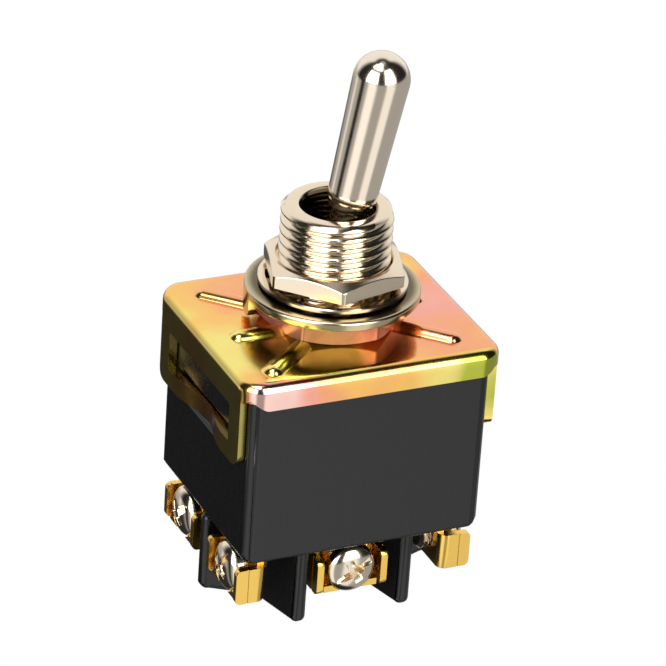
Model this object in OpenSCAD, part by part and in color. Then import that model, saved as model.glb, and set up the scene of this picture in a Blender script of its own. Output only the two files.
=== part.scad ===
// Double-pole toggle switch for a panel, with six screw terminals.
// Origin: on the bushing axis, at the top face of the mounting bracket.
// +Z runs up the bushing, +X is the way the lever leans, -Y is the front.

/* [Housing] */
// Width of the moulded housing, along X
housing_w = 27.6; // [26:0.1:30]
// Depth of the moulded housing, along Y
housing_d = 23.2; // [22:0.1:26]
// Height of the housing below the bracket plate
housing_h = 21.1; // [20.5:0.1:24]
// Thickness of the housing's outer walls
housing_wall = 2.2; // [1.8:0.1:2.6]
// Thickness of the housing's floor
floor_t = 4.0; // [3.5:0.1:5]
// Rounding of the housing's upright edges
housing_edge_r = 1.2; // [0.6:0.1:2]
// Rounding of the lower corners of the front and rear walls
housing_low_r = 1.4; // [0.8:0.1:2]

/* [Barriers] */
// Thickness of the barriers between the terminals
barrier_t = 1.5; // [1.1:0.1:1.8]
// Distance of each cross barrier from the middle
barrier_x = 6.1; // [5.9:0.1:6.4]
// Deepest reach of the barriers below the housing
barrier_h = 11.0; // [9:0.1:13]
// Height of the barriers at their outer ends
barrier_end_h = 9.2; // [7:0.1:9.6]
// How far the cross barriers stay inside the front and rear walls
barrier_inset = 1.2; // [0.6:0.1:2]

/* [Bracket] */
// Thickness of the bracket's sheet steel
sheet_t = 0.9; // [0.7:0.05:1.1]
// Gap between the bracket's skirt and the housing, each side
bracket_gap = 0.15; // [0.05:0.05:0.3]
// Height of the skirt at front and rear
skirt_h = 2.9; // [2.2:0.1:3.4]
// Height of the side straps, down to their lower edge
strap_drop = 10.3; // [9.8:0.1:11.5]
// Height of the strap below the window
strap_h = 2.1; // [1.6:0.1:2.6]
// Width of the side straps, along Y
strap_w = 21.6; // [20:0.1:22]
// Width of the upright legs beside the window
leg_w = 2.6; // [2:0.1:3.2]
// Height of the side skirt above the window
side_skirt_h = 3.9; // [3.4:0.1:4.4]
// How far the strap is crimped into the housing's pocket
crimp = 1.2; // [0.8:0.1:1.4]
// Outer radius of the bracket's upright corners
bracket_corner_r = 2.6; // [1.4:0.1:2.8]
// Outer radius of the bends along the top
bend_r = 1.1; // [1:0.1:1.3]
// Radius of the round-backed ribs pressed into the plate
rib_r = 1.0; // [0.8:0.1:1.2]
// Height of the ribs above the plate
rib_h = 0.5; // [0.3:0.05:0.6]

/* [Bushing] */
// Outside diameter of the bushing's thread
thread_d = 12.0; // [11.8:0.1:12.2]
// Height of the bushing above the bracket
bushing_h = 13.3; // [12:0.1:15]
// Diameter of the bore round the lever
bore_d = 7.9; // [7.6:0.1:8.2]
// Diameter of the flange under the bracket
flange_d = 15.0; // [14:0.1:16]
// Thickness of that flange
flange_t = 1.0; // [0.8:0.1:1.2]

/* [Mounting hardware] */
// Width of both hexagon nuts across their flats
nut_af = 14.0; // [13.8:0.1:16]
// Thickness of the lower nut
lower_nut_t = 3.0; // [2:0.1:3.4]
// Thickness of the upper nut
upper_nut_t = 2.0; // [1.6:0.1:2.6]
// Outside diameter of the locating washer
locating_d = 18.8; // [18:0.1:20]
// Thickness of the locating washer
locating_t = 1.0; // [0.8:0.1:1.2]
// Width of the locating washer's bent tab
tab_w = 4.6; // [3.5:0.1:5]
// Outside diameter of the tooth lock washer
lock_d = 16.0; // [15.6:0.1:17]
// Overall height of the lock washer over its twisted teeth
lock_h = 1.4; // [1.2:0.05:1.6]
// Number of teeth in the lock washer
lock_teeth = 11; // [9:1:12]

/* [Lever] */
// Lean of the lever to each side of upright
lever_lean = 10.5; // [9:0.1:12]
// Height of the lever's pivot above the bracket
pivot_z = 5.4; // [5.2:0.1:5.8]
// Length of the lever above its pivot
lever_len = 25.1; // [22:0.1:28]
// Diameter of the lever's grip at its root
grip_root_d = 5.3; // [5:0.1:5.6]
// Diameter of the lever's grip at its round end
grip_tip_d = 6.1; // [5.7:0.1:6.5]
// Diameter of the lever's neck
neck_d = 3.6; // [3.2:0.1:3.8]
// Diameter of the ball that the lever turns on
ball_d = 6.8; // [6.6:0.1:6.9]
// Diameter of the hinge pin through the ball
pin_d = 1.6; // [1.4:0.1:1.8]

/* [Mechanism] */
// Height of the rockers' pivot below the bracket
rocker_drop = 15.6; // [15.4:0.1:15.8]
// Tilt of the rockers to each side of level
rocker_tilt = 6.0; // [5.5:0.1:6.5]
// Slope of the rockers' trough
trough_deg = 22; // [21.5:0.5:23]
// Thickness of the rocker strip
rocker_t = 0.9; // [0.7:0.05:1]
// Width of the rocker strip, along Y
rocker_w = 4.4; // [4:0.1:4.8]
// Radius of the plungers' round nose
nose_r = 1.2; // [1:0.05:1.3]
// Travel of the plungers against their springs
plunger_travel = 0.5; // [0.3:0.05:0.6]

/* [Terminals] */
// Thickness of the terminals' brass
brass_t = 0.75; // [0.6:0.05:0.9]
// Width of a terminal over its two ears
terminal_w = 8.2; // [7.8:0.1:8.4]
// Height of the terminal's ears
ear_h = 4.1; // [3.8:0.1:4.6]
// Depth of the ears, from the plate to their free edge
ear_d = 2.75; // [2.4:0.05:3.2]
// Drop of the ears' top below the housing
ear_drop = 1.5; // [1.3:0.1:1.8]
// Extra drop of the two middle terminals
middle_drop = 0.8; // [0:0.1:1.2]
// Diameter of the terminal screws' thread
screw_d = 3.5; // [3:0.1:4]
// Diameter of the terminal screws' head
screw_head_d = 5.2; // [4.8:0.1:5.6]
// Height of the terminal screws' head
screw_head_h = 1.9; // [1.6:0.1:2.2]
// How far the end terminals' screw heads stand out past the ears
end_screw_out = 0.3; // [0:0.1:0.8]
// How far the middle terminals' screw heads stand out past the ears
middle_screw_out = 0.7; // [0:0.1:1]
// Depth of the lip along the bottom, between the ears
lip_d = 2.4; // [1.6:0.1:2.6]
// Diameter of the contact buttons
contact_d = 2.8; // [2.4:0.1:3.2]

/* [Hidden] */
$fn = 64;
eps = 0.01;
touch = 0.02;       // clearance between pieces that bear on each other
running = 0.05;     // radial clearance of what turns or slides

// housing
top_z = -sheet_t;
bottom_z = top_z - housing_h;
floor_z = bottom_z + floor_t;
cavity_w = housing_w - 2 * housing_wall;
cavity_d = housing_d - 2 * housing_wall;
pole_y = housing_d / 2 - 5.6;      // middle of each pole, which follows the wall
ledge = 0.8;                       // step that carries the insulator plate
insulator_t = 1.0;
insulator_z = top_z - flange_t;    // its top face
partition_t = 1.2;
partition_top = -8.0;
pocket_clear = 0.2;
crimp_half = 6.5;                  // half length of the crimp along Y

// bracket
bracket_w = housing_w + 2 * (bracket_gap + sheet_t);
bracket_d = housing_d + 2 * (bracket_gap + sheet_t) + 0.1;
window_top = -side_skirt_h;
window_low = -strap_drop + strap_h;
window_half = strap_w / 2 - leg_w;
leg_r = 1.5;

// bushing and what threads on it
thread_r = thread_d / 2;
bore_r = bore_d / 2;
ball_r = ball_d / 2;
socket_r = ball_r + running;
throat_r = 2.9;
throat_z = pivot_z + sqrt(socket_r * socket_r - throat_r * throat_r);
pin_r = pin_d / 2;
nut_bore_r = thread_r + 0.03;
nut_corner_r = nut_af / 2 / cos(30);
nut_chamfer = 0.45;
locating_z = lower_nut_t;
lock_z = locating_z + locating_t;
upper_nut_z = lock_z + lock_h;
lock_sheet = 0.5;

// lever and mechanism, in the lever's own upright frame below its pivot
neck_r = neck_d / 2;
stem_r = neck_r - 0.1;
grip_root = pivot_z + 3.6;         // distance from the pivot to the grip
grip_end = lever_len - grip_tip_d / 2;
block_top = 9.4;
block_low = 11.8;
leg_low = 14.2;
block_x = 3.2;
block_leg_w = 5.2;
socket_top = 10.4;
cup_r = 1.9;
cup_wall = 0.5;
cup_floor = 1.0;
cup_low = 15.6;

// rockers
rocker_z = -rocker_drop;
seat_r = 0.8;
trough_h = 1.5;                    // from the pivot up to the trough's line
trough_half = 4.6;
arm_half = 7.6;
hub_half = 1.6;
contact_x = 6.6;
contact_r = contact_d / 2;
contact_h = 0.7;
arm_under = trough_h + trough_half * tan(trough_deg)
    + (contact_x - trough_half) * tan(rocker_tilt) - rocker_t;
fixed_top = rocker_z - contact_x * sin(rocker_tilt)
    + (arm_under - contact_h) * cos(rocker_tilt) - touch;
fixed_x = contact_x * cos(rocker_tilt) + (arm_under - contact_h) * sin(rocker_tilt);
fixed_h = 0.8;
foot_top = fixed_top - fixed_h;

// distance from the lever's pivot to the centre of the plungers' nose, at
// which the nose bears on the trough's lower wing
wing = trough_deg - rocker_tilt;
nose_s = (trough_h * sin(rocker_tilt) * sin(wing)
    + (pivot_z - rocker_z - trough_h * cos(rocker_tilt)) * cos(wing)
    - nose_r - touch) / cos(lever_lean - wing);

// terminals
ear_top = bottom_z - ear_drop;
ear_low = ear_top - ear_h;
lip_top = bottom_z - 0.2;
end_free_x = housing_w / 2 - 0.1;  // free edge of the end terminals' ears
mid_free_y = housing_d / 2 - 1.8;  // free edge of the middle terminals' ears
end_plate = end_free_x - ear_d;
mid_plate = mid_free_y - ear_d;
end_head_back = end_free_x + end_screw_out - screw_head_h;
middle_head_back = mid_free_y + middle_screw_out - screw_head_h;
ear_corner_r = 0.6;
head_clear = 0.2;                  // round the screw heads, in the lip
post_half = min(mid_plate - pole_y, rocker_w / 2 - 0.3);
neck_w = 4.0;
screw_len = 4.2;
screw_z = (ear_top + ear_low) / 2 + 0.5;
slot_clear = 0.05;

black = [0.07, 0.07, 0.08];
gold_zinc = [0.80, 0.66, 0.36];
nickel = [0.78, 0.75, 0.70];
brass = [0.80, 0.62, 0.28];

SIDES = ["left", "middle", "right"];
POLES = ["front", "rear"];

// ---- shared shapes ----

// Rectangle with round corners, centred.
module round_rect(w, d, r) {
    square([w - 2 * r, d], center = true);
    square([w, d - 2 * r], center = true);
    for (x = [-1, 1])
        for (y = [-1, 1])
            translate([x * (w / 2 - r), y * (d / 2 - r)])
                circle(r);
}

// Rectangle from y = -h to 0 with both upper corners rounded.
module round_top(w, h, r) {
    translate([-w / 2, -h])
        square([w, h - r]);
    translate([-w / 2 + r, -h])
        square([w - 2 * r, h]);
    for (x = [-1, 1])
        translate([x * (w / 2 - r), -r])
            circle(r);
}

// Rectangle from y = -h to 0 with both lower corners rounded.
module round_low(w, h, r) {
    translate([0, -h])
        mirror([0, 1])
            round_top(w, h, r);
}

// Flat profile (x, z) run along Y, centred.
module run_y(len) {
    rotate([90, 0, 0])
        linear_extrude(len, center = true)
            children();
}

// Flat profile (y, z) run along X, centred.
module run_x(len) {
    rotate([90, 0, 90])
        linear_extrude(len, center = true)
            children();
}

// Puts a piece drawn upright about the lever's pivot into its leaning place.
module lean() {
    translate([0, 0, pivot_z])
        rotate([0, lever_lean, 0])
            children();
}

// Puts a piece drawn about a rocker's pivot into its tilted place.
module tilt_rocker(side) {
    translate([0, side * pole_y, rocker_z])
        rotate([0, -rocker_tilt, 0])
            children();
}

// Turns a piece drawn for the right-hand end (plate facing +X) into place.
module at_end(side_x, side_y) {
    translate([0, side_y * pole_y, 0])
        rotate([0, 0, side_x > 0 ? 0 : 180])
            children();
}

module at_middle(side_y) {
    rotate([0, 0, side_y * 90])
        children();
}

// ---- housing ----

module barrier_profile(half, reach_end, flat_half) {
    // upright web: deepest in the middle, shallower at its round outer ends
    r = 1.0;
    translate([-half, -reach_end + r])
        square([2 * half, reach_end - r + eps]);
    polygon([
        [-half + r, -reach_end], [-flat_half, -barrier_h],
        [flat_half, -barrier_h], [half - r, -reach_end],
        [half - r, 0], [-half + r, 0]
    ]);
    for (x = [-1, 1])
        translate([x * (half - r), -reach_end + r])
            circle(r);
}

// Barriers: an upright web each, half-round at both of its upright ends.
module cross_barrier(half) {
    intersection() {
        run_x(barrier_t)
            barrier_profile(half, barrier_end_h, 2.0);
        translate([0, 0, -barrier_h - 1])
            linear_extrude(barrier_h + 2)
                round_rect(barrier_t, 2 * half, barrier_t / 2 - 0.05);
    }
}

module long_barrier(half) {
    intersection() {
        run_y(barrier_t)
            barrier_profile(half, barrier_end_h, barrier_x + 1.0);
        translate([0, 0, -barrier_h - 1])
            linear_extrude(barrier_h + 2)
                round_rect(2 * half, barrier_t, barrier_t / 2 - 0.05);
    }
}

module housing_block() {
    intersection() {
        translate([0, 0, bottom_z])
            linear_extrude(housing_h)
                round_rect(housing_w, housing_d, housing_edge_r);
        translate([0, 0, top_z])
            run_y(housing_d + 2)
                round_low(housing_w, housing_h, housing_low_r);
    }
}

module housing_cavity() {
    translate([-cavity_w / 2, -cavity_d / 2, floor_z])
        cube([cavity_w, cavity_d, -floor_z]);
    translate([-cavity_w / 2 - ledge, -cavity_d / 2 - ledge, insulator_z - insulator_t])
        cube([cavity_w + 2 * ledge, cavity_d + 2 * ledge, -insulator_z + insulator_t]);
}

module strap_pockets() {
    depth = crimp + sheet_t / 2;
    for (x = [-1, 1])
        translate([x * (housing_w / 2 - depth / 2), 0, (window_low - strap_drop) / 2])
            cube([depth + eps, 2 * (crimp_half + pocket_clear),
                strap_h + 2 * pocket_clear], center = true);
}

module neck_slots() {
    for (y = [-1, 1]) {
        for (x = [-1, 1])
            at_end(x, y)
                translate([end_plate - brass_t - slot_clear, -neck_w / 2 - slot_clear, bottom_z - 1])
                    cube([brass_t + 2 * slot_clear, neck_w + 2 * slot_clear, floor_t + 2 + foot_top - floor_z]);
        at_middle(y)
            translate([mid_plate - brass_t - slot_clear, -neck_w / 2 - slot_clear, bottom_z - 1])
                cube([brass_t + 2 * slot_clear, neck_w + 2 * slot_clear, floor_t + 2]);
    }
}

// Pads moulded on the floor, which carry the feet of the end terminals.
module foot_pads() {
    for (x = [-1, 1])
        for (y = [-1, 1])
            at_end(x, y)
                translate([fixed_x - contact_r, -neck_w / 2 - 0.6, floor_z - eps])
                    cube([cavity_w / 2 - fixed_x + contact_r + eps, neck_w + 1.2,
                        foot_top - brass_t - floor_z + eps]);
}

module housing() {
    color(black)
        difference() {
            union() {
                difference() {
                    housing_block();
                    housing_cavity();
                    strap_pockets();
                }
                foot_pads();
                translate([-cavity_w / 2 - eps, -partition_t / 2, floor_z - eps])
                    cube([cavity_w + 2 * eps, partition_t, partition_top - floor_z]);
                translate([0, 0, bottom_z]) {
                    for (x = [-1, 1])
                        translate([x * barrier_x, 0, 0])
                            cross_barrier(housing_d / 2 - barrier_inset);
                    long_barrier(housing_w / 2 - 0.2);
                }
            }
            neck_slots();
        }
}

// ---- bracket ----

module bracket_shell(w, d, h, corner_r, top_r) {
    intersection() {
        translate([0, 0, -h])
            linear_extrude(h)
                round_rect(w, d, corner_r);
        run_y(d + 2)
            round_top(w, h + 1, top_r);
        run_x(w + 2)
            round_top(d, h + 1, top_r);
    }
}

// Ribs run from near the bushing to the corners and to the middle of the sides.
function corner_angle() = atan2(bracket_d / 2, bracket_w / 2);
RIBS = [
    for (a = [corner_angle(), 180 - corner_angle(), 180 + corner_angle(), -corner_angle()])
        [a, 9.2, 14.4],
    [0, 9.2, 11.9],
    [180, 9.2, 11.9]
];

module rib_forms(r, centre_z) {
    for (rib = RIBS)
        rotate([0, 0, rib[0]]) {
            translate([rib[1], 0, centre_z])
                rotate([0, 90, 0])
                    cylinder(r = r, h = rib[2] - rib[1]);
            for (s = [rib[1], rib[2]])
                translate([s, 0, centre_z])
                    rotate([0, 90, 0])
                        sphere(r);
        }
}

// Strap below the window, crimped into the housing's pocket.
function crimp_in(y) = abs(y) < crimp_half ? crimp * (1 + cos(180 * y / crimp_half)) / 2 : 0;

module crimped_strap() {
    steps = 24;
    outer = bracket_w / 2;
    ys = [for (i = [0:steps]) -crimp_half + 2 * crimp_half * i / steps];
    translate([0, 0, -strap_drop])
        linear_extrude(strap_h)
            polygon(concat(
                [for (y = ys) [outer - crimp_in(y), y]],
                [for (i = [steps:-1:0]) [outer - sheet_t - crimp_in(ys[i]), ys[i]]]
            ));
}

module side_strap() {
    difference() {
        translate([bracket_w / 2 - sheet_t / 2, 0, 0])
            run_x(sheet_t)
                difference() {
                    translate([0, -bend_r])
                        round_low(strap_w, strap_drop - bend_r, leg_r);
                    translate([-window_half, window_low])
                        square([2 * window_half, window_top - window_low]);
                }
        translate([0, -crimp_half, -strap_drop - 1])
            cube([bracket_w, 2 * crimp_half, strap_h + 1 + eps]);
    }
    crimped_strap();
}

module mounting_bracket() {
    color(gold_zinc)
        difference() {
            union() {
                difference() {
                    bracket_shell(bracket_w, bracket_d, skirt_h, bracket_corner_r, bend_r);
                    translate([0, 0, -sheet_t])
                        bracket_shell(bracket_w - 2 * sheet_t, bracket_d - 2 * sheet_t,
                            skirt_h + 1, bracket_corner_r - sheet_t, bend_r - sheet_t);
                }
                side_strap();
                rotate([0, 0, 180])
                    side_strap();
                intersection() {
                    rib_forms(rib_r, rib_h - rib_r);
                    translate([-bracket_w / 2, -bracket_d / 2, -sheet_t / 2])
                        cube([bracket_w, bracket_d, sheet_t / 2 + rib_h + 1]);
                }
            }
            // the hollow under each rib
            rib_forms(rib_r - sheet_t / 2, rib_h - rib_r - sheet_t / 2);
            translate([0, 0, -5])
                cylinder(r = thread_r + touch, h = 10);
        }
}

module insulator_plate() {
    color([0.55, 0.36, 0.2])
        translate([0, 0, insulator_z - insulator_t])
            linear_extrude(insulator_t)
                difference() {
                    square([cavity_w + 2 * ledge - 0.3, cavity_d + 2 * ledge - 0.3], center = true);
                    circle(4.5);
                }
}

// ---- bushing and mounting hardware ----

module bushing() {
    color(nickel)
        difference() {
            union() {
                translate([0, 0, top_z - flange_t])
                    cylinder(d = flange_d, h = flange_t - touch);
                translate([0, 0, top_z - touch - eps])
                    cylinder(r = thread_r, h = bushing_h - 0.8 - top_z + touch + eps);
                translate([0, 0, bushing_h - 0.8])
                    cylinder(r1 = thread_r, r2 = thread_r - 0.7, h = 0.8);
            }
            // straight bore for the ball from below, with a round seat above it
            translate([0, 0, top_z - flange_t - 1])
                cylinder(r = socket_r, h = pivot_z - top_z + flange_t + 1);
            intersection() {
                translate([0, 0, pivot_z])
                    sphere(socket_r);
                translate([0, 0, pivot_z - 1])
                    cylinder(r = socket_r + 1, h = throat_z - pivot_z + 1);
            }
            translate([0, 0, throat_z - 0.1])
                cylinder(r = throat_r, h = 1.0);
            translate([0, 0, throat_z + 0.5])
                cylinder(r1 = throat_r, r2 = bore_r, h = 1.0);
            translate([0, 0, throat_z + 1.5 - eps])
                cylinder(r = bore_r, h = bushing_h);
            translate([0, 0, bushing_h - 0.25])
                cylinder(r1 = bore_r, r2 = bore_r + 0.3, h = 0.3);
            translate([0, 0, pivot_z])
                rotate([90, 0, 0])
                    cylinder(r = pin_r + 0.01, h = thread_d + 2, center = true);
        }
}

// Hexagon nut from z = 0 to t, its corners turned off by a cone.
module hex_nut(t, low_chamfer) {
    run = (nut_corner_r - nut_af / 2) * 1.6;
    difference() {
        intersection() {
            cylinder(r = nut_corner_r, h = t, $fn = 6);
            union() {
                cylinder(r1 = low_chamfer ? nut_corner_r - run : nut_corner_r, r2 = nut_corner_r, h = nut_chamfer);
                translate([0, 0, nut_chamfer])
                    cylinder(r = nut_corner_r, h = t - 2 * nut_chamfer);
                translate([0, 0, t - nut_chamfer])
                    cylinder(r1 = nut_corner_r, r2 = nut_corner_r - run, h = nut_chamfer);
            }
        }
        translate([0, 0, -1])
            cylinder(r = nut_bore_r, h = t + 2);
    }
}

module lower_hex_nut() {
    color([0.75, 0.5, 0.42])
        rotate([0, 0, -16])
            translate([0, 0, touch])
                hex_nut(lower_nut_t - touch, true);
}

module upper_hex_nut() {
    color(nickel)
        rotate([0, 0, 13.5])
            translate([0, 0, upper_nut_z])
                hex_nut(upper_nut_t, false);
}

module locating_washer() {
    edge_r = 0.35;
    r = locating_d / 2;
    tab_drop = 2.1;
    color([0.7, 0.6, 0.42])
        translate([0, 0, locating_z + touch]) {
            rotate_extrude()
                union() {
                    translate([thread_r + 0.25, 0])
                        square([r - thread_r - 0.25 - edge_r, locating_t - touch]);
                    translate([r - edge_r - eps, 0])
                        square([edge_r + eps, locating_t - touch - edge_r]);
                    translate([r - edge_r, locating_t - touch - edge_r])
                        circle(edge_r);
                }
            rotate([0, 0, 163])
                intersection() {
                    translate([r - 0.45, 0, 0])
                        run_x(0.9)
                            translate([0, 0.4])
                                round_low(tab_w, tab_drop + 0.4, 0.8);
                    translate([0, 0, -tab_drop - 1])
                        cylinder(r = r, h = tab_drop + 2);
                }
        }
}

module tooth_lock_washer() {
    r = lock_d / 2;
    mid_z = lock_z + lock_h / 2;
    ring_w = 0.7;
    tooth_w = 1.8;
    tooth_len = r - ring_w / 2 - thread_r - 0.2;
    twist = asin((lock_h - 0.1 - lock_sheet) / tooth_w);
    color(nickel)
        translate([0, 0, mid_z]) {
            difference() {
                cylinder(r = r, h = lock_sheet, center = true);
                cylinder(r = r - ring_w, h = 1, center = true);
            }
            for (i = [0:lock_teeth - 1])
                rotate([0, 0, 360 * (i + 0.3) / lock_teeth])
                    translate([thread_r + 0.2, 0, 0])
                        rotate([twist, 0, 0])
                            translate([0, -tooth_w / 2, -lock_sheet / 2 * 0.8])
                                cube([tooth_len, tooth_w, lock_sheet * 0.8]);
        }
}

// ---- lever ----

module lever() {
    color(nickel)
        lean()
            difference() {
                union() {
                    sphere(ball_r);
                    translate([0, 0, -block_low])
                        cylinder(r = stem_r, h = block_low);
                    cylinder(r = neck_r, h = grip_root + 1);
                    translate([0, 0, grip_root])
                        cylinder(d1 = grip_root_d - 0.9, d2 = grip_root_d, h = 0.45);
                    translate([0, 0, grip_root + 0.45 - eps])
                        cylinder(d1 = grip_root_d, d2 = grip_tip_d, h = grip_end - grip_root - 0.45 + eps);
                    translate([0, 0, grip_end])
                        sphere(d = grip_tip_d);
                }
                rotate([90, 0, 0])
                    cylinder(r = pin_r + 0.03, h = ball_d + 2, center = true);
            }
}

module hinge_pin() {
    color([0.6, 0.6, 0.6])
        translate([0, 0, pivot_z])
            rotate([90, 0, 0])
                cylinder(r = pin_r, h = thread_d - 1.4, center = true);
}

module actuator() {
    color([0.35, 0.17, 0.08])
        lean()
            difference() {
                union() {
                    translate([-block_x, -pole_y - block_leg_w / 2, -block_low])
                        cube([2 * block_x, 2 * pole_y + block_leg_w, block_low - block_top]);
                    for (y = [-1, 1])
                        translate([-block_x, y * pole_y - block_leg_w / 2, -leg_low])
                            cube([2 * block_x, block_leg_w, leg_low - block_top]);
                }
                translate([0, 0, -block_low - 1])
                    cylinder(r = stem_r + 0.01, h = 4);
                for (y = [-1, 1])
                    translate([0, y * pole_y, -leg_low - 1])
                        cylinder(r = cup_r + running, h = leg_low + 1 - socket_top);
            }
}

module plunger(side) {
    top = socket_top + plunger_travel + 0.4;
    color(nickel)
        lean()
            translate([0, side * pole_y, 0])
                difference() {
                    union() {
                        translate([0, 0, -cup_low])
                            cylinder(r = cup_r, h = cup_low - top);
                        translate([0, 0, -nose_s])
                            cylinder(r = nose_r, h = nose_s - cup_low + cup_floor);
                        translate([0, 0, -nose_s])
                            sphere(nose_r);
                    }
                    translate([0, 0, -cup_low + cup_floor])
                        cylinder(r = cup_r - cup_wall, h = cup_low);
                }
}

// Coil spring as a swept ring of points round a helix.
module coil(r, wire_r, height, turns) {
    sides = 6;
    per_turn = 14;
    n = turns * per_turn;
    pitch = (height - 2 * wire_r) / turns;
    points = [
        for (i = [0:n])
            for (j = [0:sides - 1])
                let (a = 360 * i / per_turn, b = 360 * j / sides, q = r + wire_r * cos(b))
                    [q * cos(a), q * sin(a), wire_r + pitch * i / per_turn + wire_r * sin(b)]
    ];
    faces = concat(
        [[for (j = [0:sides - 1]) j]],
        [for (i = [0:n - 1])
            for (j = [0:sides - 1])
                [i * sides + j, (i + 1) * sides + j,
                    (i + 1) * sides + (j + 1) % sides, i * sides + (j + 1) % sides]],
        [[for (j = [sides - 1:-1:0]) n * sides + j]]
    );
    polyhedron(points, faces, convexity = 10);
}

module spring(side) {
    low = cup_low - cup_floor - plunger_travel - 0.05;
    color([0.7, 0.7, 0.72])
        lean()
            translate([0, side * pole_y, -low])
                coil(1.05, 0.2, low - socket_top - touch, 5);
}

// ---- contacts ----

function mirror_x(points) = [for (i = [len(points) - 1:-1:0]) [-points[i][0], points[i][1]]];

module rocker(side) {
    rise = tan(trough_deg);
    arm = tan(rocker_tilt);
    strip = rocker_t / cos(trough_deg);
    knee_z = trough_h + trough_half * rise;
    under_x = trough_half + (strip - rocker_t) / (rise - arm);
    top_right = [
        [0, trough_h],
        [trough_half, knee_z],
        [arm_half, knee_z + (arm_half - trough_half) * arm]
    ];
    low_right = [
        [arm_half, knee_z + (arm_half - trough_half) * arm - rocker_t],
        [under_x, trough_h - strip + under_x * rise],
        [hub_half, trough_h - strip + hub_half * rise],
        [hub_half, -0.1]
    ];
    right = concat(top_right, low_right);
    color(brass)
        tilt_rocker(side)
            difference() {
                run_y(rocker_w)
                    polygon(concat(right, mirror_x([for (i = [1:len(right) - 1]) right[i]])));
                rotate([90, 0, 0])
                    cylinder(r = seat_r + running, h = rocker_w + 1, center = true);
                translate([0, 0, -1 - seat_r / 2])
                    cube([2 * (seat_r + running), rocker_w + 1, seat_r + 2], center = true);
            }
}

module rocker_contacts(side) {
    color([0.85, 0.85, 0.86])
        tilt_rocker(side)
            for (x = [-1, 1])
                translate([x * contact_x, 0, arm_under])
                    rotate([0, -x * rocker_tilt, 0])
                        translate([0, 0, -contact_h])
                            cylinder(r = contact_r, h = contact_h);
}

module pivot_post(side) {
    color(brass)
        translate([0, side * pole_y, 0]) {
            translate([0, 0, rocker_z])
                rotate([90, 0, 0])
                    cylinder(r = seat_r, h = 2 * post_half, center = true);
            translate([-seat_r, -post_half, floor_z + brass_t])
                cube([2 * seat_r, 2 * post_half, rocker_z - floor_z - brass_t]);
        }
}

module fixed_contact(side_x, side_y) {
    color([0.85, 0.85, 0.86])
        at_end(side_x, side_y)
            translate([fixed_x, 0, foot_top])
                cylinder(r = contact_r, h = fixed_h);
}

// ---- terminals ----

// Tray of folded brass: a plate with two ears and a low lip, open outwards.
// Drawn with its plate facing +X and the outer face of the plate at x = face;
// the lip is cut away round the screw's head, whose back is at x = head_back.
module terminal_tray(face, head_back) {
    bend = 1.0;
    back = face - brass_t;
    depth = ear_d + brass_t;
    difference() {
        union() {
            // plate and ears, as one folded strip with round free corners
            intersection() {
                translate([back + depth, 0, ear_low])
                    linear_extrude(ear_h)
                        difference() {
                            round_rect(2 * depth, terminal_w, bend);
                            round_rect(2 * depth - 2 * brass_t, terminal_w - 2 * brass_t,
                                bend - brass_t / 2);
                            translate([0, -terminal_w])
                                square([2 * depth, 2 * terminal_w]);
                        }
                translate([back, 0, (ear_low + ear_top) / 2])
                    run_y(terminal_w + 2)
                        round_rect(2 * depth, ear_h, ear_corner_r);
            }
            // lip along the bottom
            translate([back, -terminal_w / 2 + bend, ear_low])
                cube([brass_t + lip_d, terminal_w - 2 * bend, brass_t]);
            // plate, up to the neck
            translate([back, -terminal_w / 2 + bend, ear_low])
                cube([brass_t, terminal_w - 2 * bend, lip_top - ear_low]);
        }
        // groove stamped down the middle of each ear
        for (y = [-1, 1])
            translate([back + depth / 2 + 0.4, y * (terminal_w / 2), ear_low + ear_h / 2])
                cube([0.2, 0.2, ear_h + 1], center = true);
        translate([back - 1, 0, screw_z])
            rotate([0, 90, 0])
                cylinder(d = screw_d + 2 * touch, h = brass_t + 2);
        translate([head_back - head_clear, 0, screw_z])
            rotate([0, 90, 0])
                cylinder(r = screw_head_d / 2 + head_clear, h = depth);
    }
}

module end_terminal(side_x, side_y) {
    color(brass)
        at_end(side_x, side_y) {
            terminal_tray(end_plate, end_head_back);
            translate([end_plate - brass_t, -neck_w / 2, lip_top - eps])
                cube([brass_t, neck_w, foot_top - lip_top + eps]);
            translate([fixed_x - contact_r, -neck_w / 2, foot_top - brass_t])
                cube([end_plate - fixed_x + contact_r, neck_w, brass_t]);
        }
}

module middle_terminal(side_y) {
    color(brass)
        at_middle(side_y) {
            translate([0, 0, -middle_drop])
                terminal_tray(mid_plate, middle_head_back);
            translate([mid_plate - brass_t, -neck_w / 2, lip_top - middle_drop - eps])
                cube([brass_t, neck_w, floor_z + brass_t - lip_top + middle_drop + eps]);
            translate([pole_y - post_half - 0.5, -neck_w / 2, floor_z + touch])
                cube([mid_plate - pole_y + post_half + 0.5, neck_w, brass_t - touch]);
        }
}

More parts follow.
